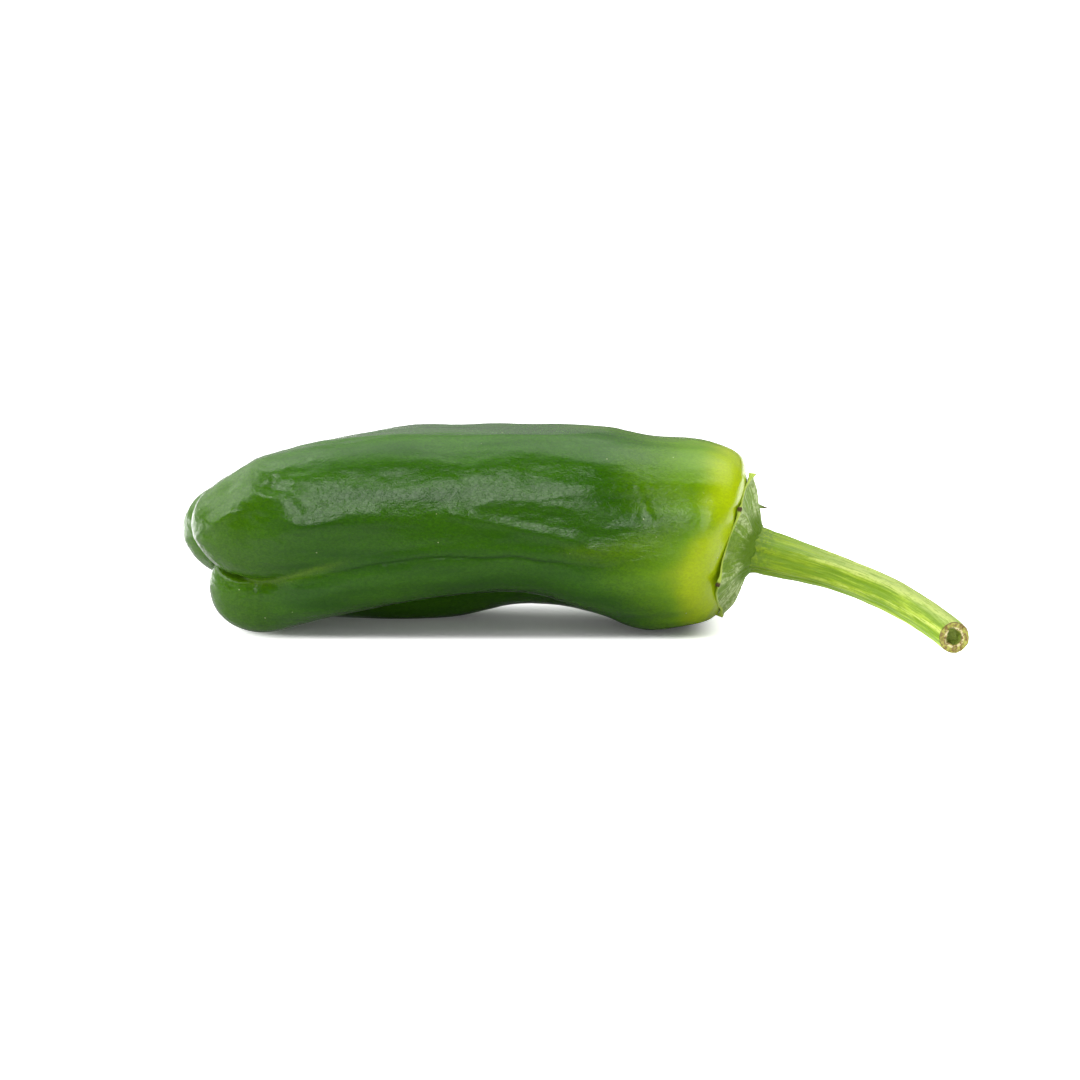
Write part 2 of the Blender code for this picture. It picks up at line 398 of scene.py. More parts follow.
NOISE_SEED = 1
SWIRL_REACH = 1.8
SWIRL_SIZE = 6.0
SWIRL_SEED = 5.5

noise.seed_set(NOISE_SEED)
curled = swirled(fruit_points, SWIRL_REACH, SWIRL_SIZE, SWIRL_SEED)
print("points pushed by up to", np.abs(curled - fruit_points).max().round(2), "mm")

# %% [markdown]
# ## Wrinkles
#
# Long shallow wrinkles run with the fruit, and finer ones lie between them. They are roughest on the
# near side of the blossom end, and calmer over the shoulder, where the skin is taut. Each layer of
# waves presses in more than it raises, which keeps the fruit inside its measured size.

# %% Wrinkles on the skin
# Layers of waves: height, size along each axis, and seed.
WRINKLES = (
    (0.170, (15.0, 4.0, 4.0), 3.1),
    (0.085, (6.0, 1.9, 1.9), 17.4),
    (0.030, (1.9, 0.8, 0.8), 41.7),
    (0.050, (3.2, 7.0, 7.0), 58.2),
    (0.026, (0.60, 0.50, 0.50), 73.9),
)
PRESSED_IN = 0.75
PRESSED_AT_TIP = 0.35
FRONT_FROM = (-3.0, -7.0)
ROUGHER_TIP = (-25.0, -34.0)
ROUGHER_BY = 0.8
TAUT_FROM = (-12.0, 0.0)
TAUT_CALMS = 0.5

along_fruit, heights = fruit_points[:, 0], fruit_points[:, 2]
past = past_shoulder(fruit_points)
taut = ease(part_way(past, *TAUT_FROM))
facing_us = ease(part_way(fruit_points[:, 1], *FRONT_FROM))
at_tip = ease(part_way(along_fruit, *ROUGHER_TIP))
relief = np.zeros(len(fruit_points))
for height, sizes, seed in WRINKLES:
    waves = (1 + ROUGHER_BY * at_tip * facing_us) * ripples(curled, sizes, seed)
    relief += height * (waves - PRESSED_IN + (PRESSED_IN - PRESSED_AT_TIP) * at_tip)
relief *= 1 - TAUT_CALMS * taut
print("wrinkles from", relief.min().round(2), "to", relief.max().round(2), "mm")

# %% [markdown]
# ## Filled creases and their fold
#
# Along the body the flesh fills the creases between lobes, most on top and in a narrower band toward
# the shoulder, so that only a fine fold is left of them. In front the fold lies a little below the
# crease, and it wanders. How near two lobes are to a point says where both belong, so neither needs a
# curve of its own.

# %% Creases and fold
FILL_HEIGHT = 0.43
FILL_MORE_ON_TOP = 0.22
FILL_TOP = (17.0, 21.0)
FILL_ABOVE = 0.30
FILL_BELOW = 0.11
FILL_NARROWS = (-4.0, 3.0)
FILL_NARROWED = 0.6
FILL_FROM = (-35.0, -26.0)
FILL_TO = (1.0, 14.0)
FOLD_DEPTH = 0.07
FOLD_WIDTH = 0.012
FOLD_LOWER = 0.12
FOLD_WANDER = 0.025
FOLD_WAVES = (3.0, 8.0, 8.0)
FOLD_SEED = 67.0

each_lobe = lobe_gauges(fruit_points)
upper_front, lower_front, upper_back, lower_back = each_lobe
gauges = np.sort(each_lobe, axis=0)
apart = gauges[1] - gauges[0]
filled = ease(part_way(along_fruit, *FILL_FROM)) * (1 - ease(part_way(along_fruit, *FILL_TO)))
narrowed = 1 - FILL_NARROWED * ease(part_way(along_fruit, *FILL_NARROWS))
fill_width = np.where(upper_front > lower_front, FILL_BELOW, FILL_ABOVE * narrowed)
fill_height = FILL_HEIGHT + FILL_MORE_ON_TOP * ease(part_way(heights, *FILL_TOP))
relief += fill_height * filled * bell(apart, fill_width)
in_front = np.maximum(upper_front, lower_front) < np.minimum(upper_back, lower_back)
wander = FOLD_WANDER * ripples(fruit_points, FOLD_WAVES, FOLD_SEED)
lowered = np.abs(upper_front - lower_front - FOLD_LOWER * filled + wander)
seam = bell(np.where(in_front, lowered, apart), FOLD_WIDTH)
relief -= FOLD_DEPTH * seam * (1 - taut)
print("points in a crease:", int((apart < FILL_BELOW).sum()))

# %% [markdown]
# ## Tip, shoulder and ridge line
#
# Three forms are too local for the lobes' stations. The upper lobes swell a little behind their tips. A
# flat falls away across the front of the shoulder. And a ridge line runs along the top, broken by one
# dip. Each is a height that soft steps fade in and out.

# %% Local forms
# The swelling behind the tips: where along the fruit it is, how wide and how high, and from which height.
TIP_FILL_AT = -36.0
TIP_FILL_WIDTH = 2.1
TIP_FILL_HEIGHT = 0.9
TIP_FILL_ABOVE = (14.0, 19.0)
# The flat on the shoulder: its depth, and where it starts and ends, along the fruit and in height.
FLAT_DEPTH = 0.65
FLAT_FROM = (-3.5, 7.5)
FLAT_TO = (13.5, 18.0)
FLAT_HEIGHTS = (18.5, 16.6)
# The ridge line: how much it is raised, from which heights, and where its dip is and how wide.
RIDGE_RAISE = 0.42
RIDGE_HEIGHTS = (18.5, 22.3)
RIDGE_DIPS_AT = -13.5
RIDGE_DIP_WIDTH = 4.0

tip_fill = TIP_FILL_HEIGHT * bell(along_fruit, TIP_FILL_WIDTH, TIP_FILL_AT)
relief += tip_fill * ease(part_way(heights, *TIP_FILL_ABOVE))
flat = FLAT_DEPTH * part_way(along_fruit, *FLAT_FROM) * (1 - ease(part_way(along_fruit, *FLAT_TO)))
relief -= flat * ease(part_way(heights, *FLAT_HEIGHTS)) * facing_us
ridge = ease(part_way(heights, *RIDGE_HEIGHTS)) * (1 - bell(along_fruit, RIDGE_DIP_WIDTH, RIDGE_DIPS_AT))
relief += RIDGE_RAISE * ridge * ease(part_way(along_fruit, *FILL_FROM))
print("raised by up to", relief.max().round(2), "mm")

# %% [markdown]
# ## Soft folds and small dents
#
# A few folds and dents catch the light at places of their own, so no noise would put them there. Each
# is a short line, as seen from the front, with a soft ridge or groove along it.

# %% Folds and dents
# x and z of both ends, half width, and height, which is negative for a dent.
FOLDS = (
    (-14.0, 15.2, 0.0, 12.1, 0.65, 0.20),
    (-31.0, 13.6, -22.0, 14.8, 1.30, 0.22),
    (6.9, 18.0, 8.3, 14.9, 0.50, 0.05),
    (-40.9, 13.4, -38.4, 15.2, 0.55, 0.18),
    (-33.9, 17.9, -33.5, 18.9, 0.48, -0.13),
    (-30.6, 15.4, -31.4, 16.4, 0.50, -0.09),
)

for x_from, z_from, x_to, z_to, width, height in FOLDS:
    run = np.array([x_to - x_from, z_to - z_from])
    place = np.stack([along_fruit - x_from, heights - z_from], axis=-1)
    nearest = np.clip(place @ run / (run @ run), 0, 1)
    away = np.linalg.norm(place - nearest[:, None] * run, axis=-1)
    relief += height * bell(away, width) * facing_us
print("folds and dents:", len(FOLDS))

# %% [markdown]
# ## Moving the skin
#
# The lobes part in a deep pocket at the blossom end, which is added last. Then every point moves along
# its normal by its height. The skin near the table stays as it is, because the fruit rests on it, and
# the highest points are held back softly, so that the ridge line keeps its measured height.

# %% The finished relief
POCKET_DEPTH = 0.9
POCKET_WIDTH = 0.05
POCKET_REACH = (-36.0, -38.5)
CALM_FLOOR = 2.0
TOP_SOFTENS = 22.9
TOP_SOFTNESS = 0.32

pocket = bell(apart, POCKET_WIDTH) * ease(part_way(along_fruit, *POCKET_REACH))
relief -= POCKET_DEPTH * pocket
relief *= ease(part_way(heights, 0, CALM_FLOOR))
wrinkled = fruit_points + read_points(fruit_mesh, "normal") * relief[:, None]
over = np.clip(wrinkled[:, 2] - TOP_SOFTENS, 0, None)
wrinkled[:, 2] -= over - TOP_SOFTNESS * np.tanh(over / TOP_SOFTNESS)
write_points(fruit_mesh, wrinkled)
print("relief from", relief.min().round(2), "to", relief.max().round(2), "mm")

# %% [markdown]
# ## How ripe each place is
#
# The pepper is deep green along its body and turns yellow-green at the shoulder, most of all at the rim
# under the calyx. The change isn't a straight line round the fruit: pale tongues reach along the upper
# lobes' sides and along the valley between the lower ones, and the top and the underside stay green for
# longer. We could paint that by hand, but a formula on the place does it on every side at once. The
# result is kept in the mesh as a number at each vertex.

# %% Ripeness
# Tongues: height on the fruit, half width, and how far each reaches along it, or stays back.
TONGUES = ((19.5, 2.4, 0.9), (14.3, 2.5, -2.4), (8.6, 2.7, 1.8))
GREEN_TOP = 1.0
GREEN_TOP_FROM = (18.0, 21.0)
GREEN_UNDER = 3.2
GREEN_UNDER_FROM = (7.5, 1.5)
RIM_RIPER = 3.0
RIM_RIPE_FROM = (-0.6, 3.6)
# Uneven ripening: by how much, size along each axis, and seed.
UNEVEN = ((0.9, (9.0, 1.6, 1.6), 31.0), (0.8, (4.0, 4.0, 4.0), 88.0))

ripeness = past + sum(reach * bell(heights, width, at) for at, width, reach in TONGUES)
ripeness -= GREEN_TOP * ease(part_way(heights, *GREEN_TOP_FROM))
ripeness -= GREEN_UNDER * ease(part_way(heights, *GREEN_UNDER_FROM))
ripeness += sum(amount * ripples(curled, sizes, seed) for amount, sizes, seed in UNEVEN)
ripeness += RIM_RIPER * ease(part_way(past, *RIM_RIPE_FROM))
print("ripeness from", ripeness.min().round(1), "to", ripeness.max().round(1))

# %% [markdown]
# ## Lines on the skin
#
# Three more numbers tell the material where lines run. One is the dark fine fold, with the pocket at
# the blossom end: its own darker green, with painted shade in the fold and the pocket. One is the pale
# valley, where two lobes meet and no fold shows. The last is a painted highlight: a thin whitish line
# round the near lobe's tip, where its skin turns in to the lobe behind, on the near side only.

# %% Fold, valley and painted tip highlight
SEAM_FROM = (-30.0, -24.0)
SEAM_TO = (-4.0, 2.0)
VALLEY_WIDTH = 0.09
# The painted highlight round the near lobe's tip: where along the fruit, where and how wide, and from the
# front.
TIP_HIGHLIGHT_FROM = (-37.5, -39.0)
TIP_HIGHLIGHT_AT = 0.08
TIP_HIGHLIGHT_WIDTH = 0.07
TIP_HIGHLIGHT_FRONT = (0.0, -2.0)


def add_piece(name, mesh, node):
    """An object for a finished mesh, which rides with the pepper and stands for its node."""
    mesh.shade_smooth()
    piece = bpy.data.objects.new(name, mesh)
    bpy.context.scene.collection.objects.link(piece)
    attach(piece, "root")
    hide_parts(node)
    return piece


seam_shows = ease(part_way(along_fruit, *SEAM_FROM)) * (1 - ease(part_way(along_fruit, *SEAM_TO)))
valley = bell(apart, VALLEY_WIDTH) * (1 - seam_shows)
# Painted highlight: a thin whitish line round the near lobe's tip, on the near side only.
painted_tip_highlight = bell(upper_back - upper_front, TIP_HIGHLIGHT_WIDTH, TIP_HIGHLIGHT_AT)
painted_tip_highlight *= ease(part_way(along_fruit, *TIP_HIGHLIGHT_FROM)) * (upper_front == gauges[0])
painted_tip_highlight *= ease(part_way(fruit_points[:, 1], *TIP_HIGHLIGHT_FRONT))
paint_points(fruit_mesh, "ripeness", ripeness)
# The fold's own darker green, with painted shade in the fold and in the blossom end's pocket.
paint_points(fruit_mesh, "seam", np.maximum(seam * seam_shows, pocket))
paint_points(fruit_mesh, "valley", valley)
paint_points(fruit_mesh, "painted_tip_highlight", painted_tip_highlight)
fruit = add_piece("fruit_flesh", fruit_mesh, "fruit")
print("fruit piece:", fruit.name, "with", len(fruit_mesh.polygons), "faces")

# %% [markdown]
# ## The calyx
#
# The calyx is the thin green cap between stem and fruit. It has six short teeth with dried tips, a
# pale rib from each tooth to the neck, and hollows between the ribs. Each tooth stands off the fruit
# and swells at its tip by an amount of its own, and one dry spike stands on the cap's back. The cap's
# inside follows the fruit's shoulder closely. So we shoot rays at the fruit again to learn its height
# under the cap, and lay the cap's inside and outside on that.

# %% The calyx's outline
CALYX_FACING = (1.0, -0.25, -0.22)
TOOTH_TURNS = (0, 50, 112, 180, 243, 305)
TOOTH_RADIUS = 8.1
TOOTH_LENGTHS = (0.45, 0.7, 0.7, 0.7, 0.7, 0.7)
TOOTH_WIDTH = math.radians(4.5)
EDGE_STRAIGHTNESS = 0.55


def calyx_frame():
    """The calyx's centre, the way it faces, and the two ways across it, to -Y and up."""
    centre = np.array(CALYX_CENTRE)
    facing = np.array(CALYX_FACING) / np.linalg.norm(CALYX_FACING)
    aside = np.cross(facing, [0.0, 0.0, 1.0])
    aside /= np.linalg.norm(aside)
    return centre, facing, aside, np.cross(aside, facing)


def turned_away(turn, middle):
    """The turn from a middle, from minus to plus half a turn."""
    return (turn - middle + FULL_TURN / 2) % FULL_TURN - FULL_TURN / 2


def at_teeth(turn, heights, width):
    """A number for each tooth, falling away on both sides of it within about the given width."""
    total = 0.0
    for tooth, height in zip(np.radians(TOOTH_TURNS), heights):
        total = total + height * bell(turned_away(turn, tooth), width)
    return total


def near_teeth(turn, width):
    """1 at the turn of each tooth, falling away to 0 on both sides."""
    return at_teeth(turn, (1,) * len(TOOTH_TURNS), width)


def rim_radius(turn):
    """The calyx's outline: nearly straight edges from tooth to tooth, and the teeth."""
    teeth = np.radians(TOOTH_TURNS + (TOOTH_TURNS[0] + 360,))
    turn = turn % FULL_TURN
    left = np.clip(np.searchsorted(teeth, turn, side="right") - 1, 0, len(TOOTH_TURNS) - 1)
    half = (teeth[left + 1] - teeth[left]) / 2
    straight = np.cos(half) / np.cos(turn - teeth[left] - half)
    edge = TOOTH_RADIUS * (1 - EDGE_STRAIGHTNESS * (1 - straight))
    return edge + at_teeth(turn, TOOTH_LENGTHS, TOOTH_WIDTH)


print("the cap reaches", rim_radius(np.array([0.0, 0.4])).round(2), "mm at a tooth and beside it")

# %% The calyx's skin
CALYX_GAP = -0.14
CALYX_THICKNESS = 0.62
RIM_THICKNESS = 0.15
RIM_THINS_FROM = 0.55
CALYX_DROP = 2.3
WELL_INSIDE = 8.0
RIB_HEIGHTS = (0.34, 0.34, 0.30, 0.08, 0.34, 0.34)
RIB_WIDTH = math.radians(13)
RIB_FULLNESS = 0.7
VEIN_HEIGHT = 0.20
VEIN_WIDTH = math.radians(4.5)
VEIN_GROWS = (0.0, 0.3)
HOLLOW_DEPTH = 0.30
HOLLOW_EDGE = math.radians(20.8)
STAND_OFF = 0.32
STAND_OFF_WIDTH = math.radians(11)
STAND_OFF_RISE = 6
STANDING_TEETH = (1.1, 0.8, 1.4, 0.8, 0.6, 0.3)
NECK_RADIUS = 2.9
NECK_HEIGHT = 1.9
NECK_HOLLOW = 1.6
COLLAR_RADIUS = 2.45
COLLAR_HEIGHT = 0.8
COLLAR_REACH = 0.7
NUB_SIZE = 0.34
NUB_HEIGHTS = (0.50, 0.10, 0.10, 0.34, 0.15, 0.20)
NUBS_BELOW = (0.10, 0.0, 0.0, 0.22, 0.0, 0.0)
SPIKE_TURN = math.radians(322)
SPIKE_INWARD = 2.2
SPIKE_SIZE = 0.30
SPIKE_HEIGHT = 1.9
CALYX_SEGMENTS = 440
CALYX_RINGS = 190


def tooth_nubs(turn, from_rim, heights):
    """A small round swelling at each tooth's tip, of its own height."""
    return at_teeth(turn, heights, NUB_SIZE / TOOTH_RADIUS) * bell(from_rim, NUB_SIZE)


def spike(turn, from_rim):
    """A dry little spike that stands on the cap's back, 1 at its top."""
    aside = turned_away(turn, SPIKE_TURN) * (TOOTH_RADIUS - SPIKE_INWARD)
    return bell(np.hypot(aside, from_rim - SPIKE_INWARD), SPIKE_SIZE)


def calyx_surface(share, turn):
    """The calyx from its centre outside, over the rim, to its centre inside."""
    centre, facing, aside, upward = calyx_frame()
    outside = share <= 0.5
    outward = np.where(outside, share, 1 - share) * 2
    rim = rim_radius(turn)
    reach = rim * outward
    flat = centre + reach[..., None] * (
        np.sin(turn)[..., None] * aside + np.cos(turn)[..., None] * upward
    )
    below = flat - facing * WELL_INSIDE
    skin = meet_skin(below, np.broadcast_to(facing, below.shape))
    skin_height = (skin - centre) @ facing
    stand_off = STAND_OFF * at_teeth(turn, STANDING_TEETH, STAND_OFF_WIDTH)
    stand_off *= outward**STAND_OFF_RISE
    inner = np.maximum(skin_height, -CALYX_DROP) + CALYX_GAP + stand_off
    slope = part_way(reach, NECK_RADIUS, rim)
    spread = 1 - (1 - slope) ** NECK_HOLLOW
    swell = np.sin(math.pi * slope)
    rib = at_teeth(turn, RIB_HEIGHTS, RIB_WIDTH) * swell**RIB_FULLNESS
    vein = VEIN_HEIGHT * near_teeth(turn, VEIN_WIDTH) * ease(part_way(slope, *VEIN_GROWS))
    hollow = HOLLOW_DEPTH * (1 - np.clip(near_teeth(turn, HOLLOW_EDGE), 0, 1)) * swell
    thinning = ease(part_way(slope, RIM_THINS_FROM, 1.0))
    thickness = CALYX_THICKNESS + (RIM_THICKNESS - CALYX_THICKNESS) * thinning
    nubs = tooth_nubs(turn, rim - reach, NUB_HEIGHTS) + SPIKE_HEIGHT * spike(turn, rim - reach)
    outer = (1 - spread) * NECK_HEIGHT + spread * (inner + thickness) + rib + vein - hollow + nubs
    inner = inner - tooth_nubs(turn, rim - reach, NUBS_BELOW)
    outer += COLLAR_HEIGHT * np.exp(-np.clip(reach - COLLAR_RADIUS, 0, None) / COLLAR_REACH)
    height = np.where(outside, outer, inner)
    return flat + facing * height[..., None]


calyx_mesh, calyx_points, calyx_share, calyx_turn = closed_skin(
    "calyx_skin", CALYX_SEGMENTS, CALYX_RINGS, calyx_surface
)
print("calyx:", len(calyx_mesh.vertices), "points")

# %% The calyx's grain and paint
# Layers of waves: height, size along each axis, and seed.
CAP_WRINKLES = ((0.16, (3.0, 0.9, 0.9), 12.0), (0.07, (1.6, 0.45, 0.45), 27.0))
CAP_PRESSED_IN = 0.4
CALM_NECK = 0.1
NECK_GRAIN = (0.14, (0.45, 0.45, 0.45), 33.0)
CAP_ROUND = 5.0
PALE_VEINS = math.radians(9)
# A painted sheen round each tooth: how strong at each, and how wide.
SHEEN_AT_TEETH = (0.8, 0.1, 0.2, 1.8, 0.6, 0.3)
SHEEN_WIDTH = math.radians(32)
PALE_FROM = (0.0, 0.4)
EDGE_HIGHLIGHT_FROM = (0.955, 0.985)
OUTSIDE_FROM = (0.5, 0.47)
DRY_TIPS = (0.25, 1.0, 1.0, 0.45, 0.8, 1.0)

outward = np.where(calyx_share <= 0.5, calyx_share, 1 - calyx_share) * 2
on_outside = ease(part_way(calyx_share, *OUTSIDE_FROM))
rim = rim_radius(calyx_turn)
slope = part_way(rim * outward, NECK_RADIUS, rim)
cap_places = np.stack(
    [rim * outward, CAP_ROUND * np.cos(calyx_turn), CAP_ROUND * np.sin(calyx_turn)], axis=-1
)
grain = np.zeros(len(calyx_points))
for height, sizes, seed in CAP_WRINKLES:
    grain += height * (ripples(cap_places, sizes, seed) - CAP_PRESSED_IN)
grain *= np.sqrt(np.sin(math.pi * np.clip(slope, CALM_NECK, 1.0)))
grain += (1 - slope) ** 2 * NECK_GRAIN[0] * ripples(calyx_points, *NECK_GRAIN[1:])
grain *= on_outside
normals = read_points(calyx_mesh, "normal")
write_points(calyx_mesh, calyx_points + normals * grain[:, None])
# Pale veins, plus a painted sheen round the teeth that is strongest at the lowest one.
pale_and_sheen = near_teeth(calyx_turn, PALE_VEINS) + at_teeth(calyx_turn, SHEEN_AT_TEETH, SHEEN_WIDTH)
from_rim = rim * (1 - outward)
dry = tooth_nubs(calyx_turn, from_rim, DRY_TIPS) + spike(calyx_turn, from_rim)
paint_points(calyx_mesh, "pale_and_sheen", pale_and_sheen * ease(part_way(slope, *PALE_FROM)))
paint_points(calyx_mesh, "slope", slope)
# Where the painted highlight along the rim lies.
paint_points(calyx_mesh, "edge", ease(part_way(outward, *EDGE_HIGHLIGHT_FROM)))
paint_points(calyx_mesh, "dry", dry)
paint_points(calyx_mesh, "raised", grain)
paint_places(calyx_mesh, "cap_places", cap_places)
calyx = add_piece("calyx_cap", calyx_mesh, "calyx")
print("calyx piece:", calyx.name)

# %% [markdown]
# ## The stem
#
# The stem leaves the cap straight, then bends to the viewer and down to a slanting cut. It is ribbed
# like a celery stick, with ribs that wind a little and fade toward the cut, and with a hollow pith in
# the cut. One Bezier curve carries its middle line, and the skin is set out round that line, over the
# cut ring and down the pith's wall.

# %% The stem's middle line
STEM_END = (41.53, -15.12, 2.33)
STEM_LEAVES = 10.0
STEM_ARRIVES = 9.0
STEM_END_WAY = (0.55, -0.72, -0.42)
STEM_SINKS = 0.35


def bezier(start, leave, arrive, end, share):
    """A cubic curve and its direction at a share of its length."""
    u = share[..., None]
    point = (
        (1 - u) ** 3 * start
        + 3 * (1 - u) ** 2 * u * leave
        + 3 * (1 - u) * u**2 * arrive
        + u**3 * end
    )
    way = (
        (1 - u) ** 2 * (leave - start)
        + 2 * (1 - u) * u * (arrive - leave)
        + u**2 * (end - arrive)
    )
    return point, way / np.linalg.norm(way, axis=-1, keepdims=True)


def stem_line(along):
    """The stem's middle, its direction, and the ways to its side and its top."""
    centre, facing, aside, upward = calyx_frame()
    base = centre + facing * (NECK_HEIGHT - STEM_SINKS)
    end = np.array(STEM_END)
    end_way = np.array(STEM_END_WAY) / np.linalg.norm(STEM_END_WAY)
    middle, way = bezier(
        base, base + facing * STEM_LEAVES, end - end_way * STEM_ARRIVES, end, along
    )
    side = np.cross(way, upward)
    side /= np.linalg.norm(side, axis=-1, keepdims=True)
    return middle, way, side, np.cross(side, way), end_way


middles = stem_line(np.linspace(0, 1, 200))[0]
STEM_LENGTH = float(np.linalg.norm(np.diff(middles, axis=0), axis=1).sum())
print("the stem is", round(STEM_LENGTH, 1), "mm long")

# %% The stem's skin
STEM_RADII = ((0.0, 2.95), (0.05, 2.7), (0.15, 2.42), (0.35, 2.03), (0.6, 1.92), (1.0, 1.82))
STEM_RIBS = 6
RIB_PHASE = math.radians(-3)
STEM_TWIST = math.radians(36)
STEM_RIB_DEPTH = 0.07
MEAN_RIB_WAVE = 0.64
CREST_DEPTH = 0.05
CREST_TOP = 0.8
RIBS_FADE = 0.85
END_ROUNDING = 0.04
END_ROUNDS_FROM = 0.975
CUT_NORMAL = (0.30, -0.92, -0.12)
CUT_SPREAD = 6
PITH_RADIUS = 0.47
PITH_POINT = math.radians(40)
PITH_POINTED = 0.42
PITH_POINT_WIDTH = 0.8
PITH_INSET = 0.04
PITH_DEPTH = 0.9
BASE_ENDS = 0.05
SIDE_ENDS = 0.82
RING_ENDS = 0.90
WALL_ENDS = 0.95
STEM_SEGMENTS = 200
STEM_RINGS = 400


def rib_angle(turn, along):
    """The turn from the first rib, which winds a little round the stem, times half the ribs."""
    return STEM_RIBS * (turn - RIB_PHASE + STEM_TWIST * along**2) / 2


def crest(turn, along):
    """1 on the line of each rib's crest, falling sharply to 0 between the ribs."""
    return (1 - np.abs(np.sin(rib_angle(turn, along)))) ** 2


def pith_reach(turn):
    """How far out the hollow in the cut reaches: a drop with one blunt point."""
    off = np.abs(turned_away(turn, PITH_POINT)) / PITH_POINT_WIDTH
    return PITH_RADIUS * (1 + PITH_POINTED * np.clip(1 - off, 0, None) - PITH_INSET)


def stem_surface(share, turn):
    """The stem from its base disc along its length, over the cut and down the pith."""
    along = part_way(share, BASE_ENDS, SIDE_ENDS)
    middle, way, side, top, end_way = stem_line(along)
    radius = smooth_through(STEM_RADII, along)[..., 0]
    wave = np.abs(np.cos(rib_angle(turn, along))) - MEAN_RIB_WAVE
    ribs = STEM_RIB_DEPTH * wave + CREST_DEPTH * (crest(turn, along) - CREST_TOP)
    rounding = END_ROUNDING * part_way(along, END_ROUNDS_FROM, 1) ** 2
    rib = 1 + ribs * (1 - RIBS_FADE * along**3) - rounding
    ring_reach = 1 - (1 - pith_reach(turn)) * part_way(share, SIDE_ENDS, RING_ENDS)
    reach = part_way(share, 0, BASE_ENDS) * ring_reach * (1 - part_way(share, WALL_ENDS, 1))
    offset = (radius * rib * reach)[..., None] * (
        np.sin(turn)[..., None] * side + np.cos(turn)[..., None] * top
    )
    cut = np.array(CUT_NORMAL) / np.linalg.norm(CUT_NORMAL)
    slant = -(offset @ cut) / (end_way @ cut)
    deep = PITH_DEPTH * part_way(share, RING_ENDS, WALL_ENDS)
    slanting = along**CUT_SPREAD * slant - deep
    return middle + offset + way * slanting[..., None]


stem_mesh, stem_points, stem_share, stem_turn = closed_skin(
    "stem_skin", STEM_SEGMENTS, STEM_RINGS, stem_surface
)
print("stem:", len(stem_mesh.vertices), "points")

# %% The stem's grain
# Layers of waves: height, size along each axis, and seed.
STEM_GRAIN = ((0.090, (7.0, 0.55, 0.55), 4.0), (0.050, (2.2, 0.30, 0.30), 9.0))
BASE_GRAIN = (0.10, (0.9, 0.5, 0.5), 14.0)
CUT_GRAIN = (0.12, (0.35, 0.35, 0.35), 21.0)
STEM_PRESSED_IN = 0.6
STEM_ROUND = 2.0
BASE_LENGTH = 5.0
CUT_EDGE = 0.004

# Places for grain that runs with the stem: millimetres along it, and points on its round.
stem_along = part_way(stem_share, BASE_ENDS, SIDE_ENDS)
around = [STEM_ROUND * np.cos(stem_turn), STEM_ROUND * np.sin(stem_turn)]
stem_places = np.stack([stem_along * STEM_LENGTH, *around], axis=-1)
on_cut = ease(part_way(stem_share, SIDE_ENDS - CUT_EDGE, SIDE_ENDS + CUT_EDGE))
at_base = 1 - ease(part_way(stem_places[:, 0], 0.0, BASE_LENGTH))
grain = np.zeros(len(stem_points))
for height, sizes, seed in STEM_GRAIN:
    grain += height * (ripples(stem_places, sizes, seed) - STEM_PRESSED_IN)
grain += at_base * BASE_GRAIN[0] * (ripples(stem_places, *BASE_GRAIN[1:]) - STEM_PRESSED_IN)
rough_cut = CUT_GRAIN[0] * (ripples(stem_points, *CUT_GRAIN[1:]) - STEM_PRESSED_IN)
grain = grain * (1 - on_cut) + rough_cut * on_cut
normals = read_points(stem_mesh, "normal")
write_points(stem_mesh, stem_points + normals * grain[:, None])
print("grain from", grain.min().round(2), "to", grain.max().round(2), "mm")

# %% Numbers for the stem's paint
CREST_SHOWS = (0.10, 0.50)
# Painted shade: how much of the crests' paint is left on the underside, and where it changes.
CREST_SHADED_BELOW = 0.35
CREST_SHADE_SIDES = (-0.2, 0.3)
# Where the painted sheen on the top face lies: by how far it faces up, and along the stem.
TOP_SHEEN_FACE = (0.45, 0.85)
TOP_SHEEN_SHOWS = (0.05, 0.50)
PITH_FROM = (RING_ENDS - 0.006, RING_ENDS + 0.01)

upward = np.cos(stem_turn)
# The crests' paint is dimmed on the underside as painted shade, and fades in from the foot.
crest_shows = CREST_SHADED_BELOW + (1 - CREST_SHADED_BELOW) * ease(part_way(upward, *CREST_SHADE_SIDES))
crest_shows *= ease(part_way(stem_along, *CREST_SHOWS))
# Painted sheen: the face on top is paler.
top_sheen = ease(part_way(upward, *TOP_SHEEN_FACE)) * ease(part_way(stem_along, *TOP_SHEEN_SHOWS))
radial = 1 - (1 - pith_reach(stem_turn)) * part_way(stem_share, SIDE_ENDS, RING_ENDS)
radial *= 1 - part_way(stem_share, WALL_ENDS, 1)
paint_points(stem_mesh, "crest", crest(stem_turn, stem_along) * crest_shows)
paint_points(stem_mesh, "top_sheen", top_sheen)
paint_points(stem_mesh, "along", stem_along)
paint_points(stem_mesh, "on_cut", on_cut)
paint_points(stem_mesh, "in_pith", ease(part_way(stem_share, *PITH_FROM)))
paint_points(stem_mesh, "radial", radial)
paint_places(stem_mesh, "stem_places", stem_places)
stem = add_piece("flower_stalk", stem_mesh, "stem")
print("stem piece:", stem.name)

# %% [markdown]
# ## Materials in a few words
#
# Each finish is a small network of nodes. A helper class keeps the wiring short, so that a recipe reads
# like a recipe: take the place on the skin, stretch it, make noise from it, and mix two colours by that
# noise. The same helper serves the room's light later on, because that is a network of nodes too.

